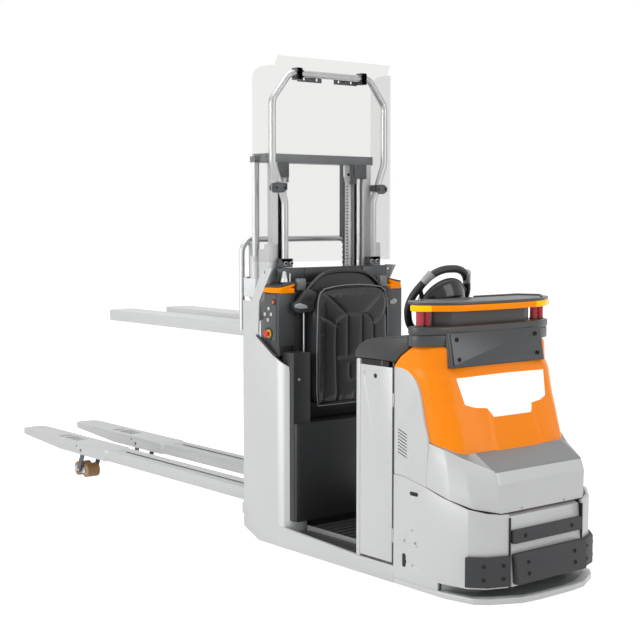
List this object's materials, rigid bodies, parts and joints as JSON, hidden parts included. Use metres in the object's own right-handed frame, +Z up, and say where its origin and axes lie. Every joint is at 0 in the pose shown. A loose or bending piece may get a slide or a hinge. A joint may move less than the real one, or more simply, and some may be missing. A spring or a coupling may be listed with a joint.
{
  "type": "order picker truck",
  "caption": "Rider order picker truck with long load arms, a two stage fork mast, a standing platform and a steered drive end.",
  "frame": {"origin": "on the floor below the middle of the overall box", "axes": "+X towards the drive end, +Y to the truck's left, +Z up"},
  "size_m": [4.36, 0.8, 2.366],
  "materials": {
    "silver_paint": "silver grey powder coat, satin",
    "orange_paint": "orange paint, semi gloss",
    "dark_paint": "anthracite powder coat, matt",
    "white_paint": "white paint, satin",
    "black_plastic": "grained black moulded plastic",
    "black_rubber": "black rubber",
    "pad_leather": "black synthetic leather over foam",
    "clear_sheet": "clear polycarbonate sheet",
    "satin_steel": "satin steel",
    "bright_steel": "ground and chromed rod",
    "chain_steel": "oiled chain steel",
    "amber_lens": "amber lens, lit",
    "red_lens": "red lens",
    "button_plastic": "pale button plastic",
    "wheel_tyre": "dark polyurethane tyre",
    "roller_tyre": "tan polyurethane",
    "battery_steel": "battery trough, plain block for the cells"
  },
  "bodies": {
    "chassis": {"side_frames": "silver_paint", "floor_frame": "dark_paint", "floor_mats": "black_rubber", "floor_edges": "satin_steel", "back_panel": "black_plastic", "back_pad": "pad_leather", "pad_bow": "dark_paint", "hip_supports": "black_plastic", "lower_cover": "black_plastic", "control_pods": "black_plastic", "pod_lamps": "amber_lens", "pod_buttons": "button_plastic", "guard_frame": "satin_steel", "guard_clamps": "dark_paint", "guard_screen": "clear_sheet", "battery_frame": "silver_paint", "battery_block": "battery_steel", "compartment_lid": "black_plastic", "drive_shell": "silver_paint", "skirt": "silver_paint", "drive_panels": "silver_paint", "nose_cover": "silver_paint", "hood": "orange_paint", "bumper_box": "silver_paint", "bumper_pads": "black_rubber", "console_base": "black_plastic", "badge_plate": "dark_paint", "beacons": "red_lens", "light_strip": "amber_lens", "console_counter": "black_plastic", "steering_column": "black_plastic", "drive_frame": "dark_paint"},
    "battery_door_left_body": {"battery_door_left": "silver_paint"},
    "battery_door_right_body": {"battery_door_right": "silver_paint"},
    "steering": {"steering_hub": "black_plastic", "steering_ring": "black_plastic"},
    "turret": {"drive_turret": "dark_paint"},
    "drive_wheel_body": {"drive_wheel": "wheel_tyre"},
    "castor": {"castor_fork": "dark_paint"},
    "castor_wheels_body": {"castor_wheels": "wheel_tyre"},
    "load_section": {"load_arms": "silver_paint", "outer_mast": "silver_paint", "lift_cylinders": "silver_paint", "cylinder_clamps": "white_paint"},
    "inner_section": {"inner_mast": "silver_paint", "mast_crossbeam": "dark_paint", "lift_rods": "bright_steel", "mast_chains": "chain_steel"},
    "carriage": {"fork_carriage": "dark_paint", "upper_forks": "silver_paint", "load_guard": "satin_steel"},
    "link_left": {"lift_link_left": "dark_paint"},
    "bogie_body_left": {"bogie_left": "satin_steel"},
    "roller_body_front_left": {"roller_front_left": "roller_tyre"},
    "roller_body_rear_left": {"roller_rear_left": "roller_tyre"},
    "link_right": {"lift_link_right": "dark_paint"},
    "bogie_body_right": {"bogie_right": "satin_steel"},
    "roller_body_front_right": {"roller_front_right": "roller_tyre"},
    "roller_body_rear_right": {"roller_rear_right": "roller_tyre"}
  },
  "joints": [
    {"name": "initial_lift", "type": "slide", "parent": "chassis", "child": "load_section", "axis": [0, 0, 1], "range_m": [-0.115, 0]},
    {"name": "mast_lift", "type": "slide", "parent": "load_section", "child": "inner_section", "axis": [0, 0, 1], "range_m": [-0.388, 0.385]},
    {"name": "carriage_lift", "type": "slide", "parent": "inner_section", "child": "carriage", "axis": [0, 0, 1], "range_m": [-0.388, 0.385]},
    {"name": "steer", "type": "hinge", "parent": "chassis", "child": "turret", "pos_m": [1.86, 0.14, 0.36], "axis": [0, 0, 1], "range_deg": [-90, 90]},
    {"name": "ring_turn", "type": "hinge", "parent": "chassis", "child": "steering", "pos_m": [1.46, 0, 1.225], "axis": [-0.866, 0, 0.5], "range_deg": [-90, 90]},
    {"name": "drive_roll", "type": "hinge", "parent": "turret", "child": "drive_wheel_body", "pos_m": [1.86, 0.14, 0.115], "axis": [0, 1, 0], "continuous": true},
    {"name": "castor_swivel", "type": "hinge", "parent": "chassis", "child": "castor", "pos_m": [1.8, -0.24, 0.2], "axis": [0, 0, 1], "continuous": true},
    {"name": "castor_roll", "type": "hinge", "parent": "castor", "child": "castor_wheels_body", "pos_m": [1.755, -0.24, 0.07], "axis": [0, 1, 0], "continuous": true},
    {"name": "door_left", "type": "hinge", "parent": "chassis", "child": "battery_door_left_body", "pos_m": [1.6025, 0.396, 0.5], "axis": [0, 0, -1], "range_deg": [0, 95]},
    {"name": "door_right", "type": "hinge", "parent": "chassis", "child": "battery_door_right_body", "pos_m": [1.6025, -0.396, 0.5], "axis": [0, 0, 1], "range_deg": [0, 95]},
    {"name": "link_swing_left", "type": "hinge", "parent": "load_section", "child": "link_left", "pos_m": [-1.375, 0.195, 0.175], "axis": [0, 1, 0], "range_deg": [0, 55.4]},
    {"name": "bogie_level_left", "type": "hinge", "parent": "link_left", "child": "bogie_body_left", "pos_m": [-1.44531, 0.195, 0.0425], "axis": [0, 1, 0], "range_deg": [-55.4, 0]},
    {"name": "roller_front_left_roll", "type": "hinge", "parent": "bogie_body_left", "child": "roller_body_front_left", "pos_m": [-1.49181, 0.195, 0.0425], "axis": [0, 1, 0], "continuous": true},
    {"name": "roller_rear_left_roll", "type": "hinge", "parent": "bogie_body_left", "child": "roller_body_rear_left", "pos_m": [-1.39881, 0.195, 0.0425], "axis": [0, 1, 0], "continuous": true},
    {"name": "link_swing_right", "type": "hinge", "parent": "load_section", "child": "link_right", "pos_m": [-1.375, -0.195, 0.175], "axis": [0, 1, 0], "range_deg": [0, 55.4]},
    {"name": "bogie_level_right", "type": "hinge", "parent": "link_right", "child": "bogie_body_right", "pos_m": [-1.44531, -0.195, 0.0425], "axis": [0, 1, 0], "range_deg": [-55.4, 0]},
    {"name": "roller_front_right_roll", "type": "hinge", "parent": "bogie_body_right", "child": "roller_body_front_right", "pos_m": [-1.49181, -0.195, 0.0425], "axis": [0, 1, 0], "continuous": true},
    {"name": "roller_rear_right_roll", "type": "hinge", "parent": "bogie_body_right", "child": "roller_body_rear_right", "pos_m": [-1.39881, -0.195, 0.0425], "axis": [0, 1, 0], "continuous": true}
  ],
  "couplings": [
    {"joint": "carriage_lift", "follows": "mast_lift", "ratio": 1},
    {"joint": "ring_turn", "follows": "steer", "ratio": 1},
    {"joint": "link_swing_left", "follows": "initial_lift", "rad_per_m": -8.3999},
    {"joint": "bogie_level_left", "follows": "initial_lift", "rad_per_m": 8.3999},
    {"joint": "link_swing_right", "follows": "initial_lift", "rad_per_m": -8.3999},
    {"joint": "bogie_level_right", "follows": "initial_lift", "rad_per_m": 8.3999}
  ]
}
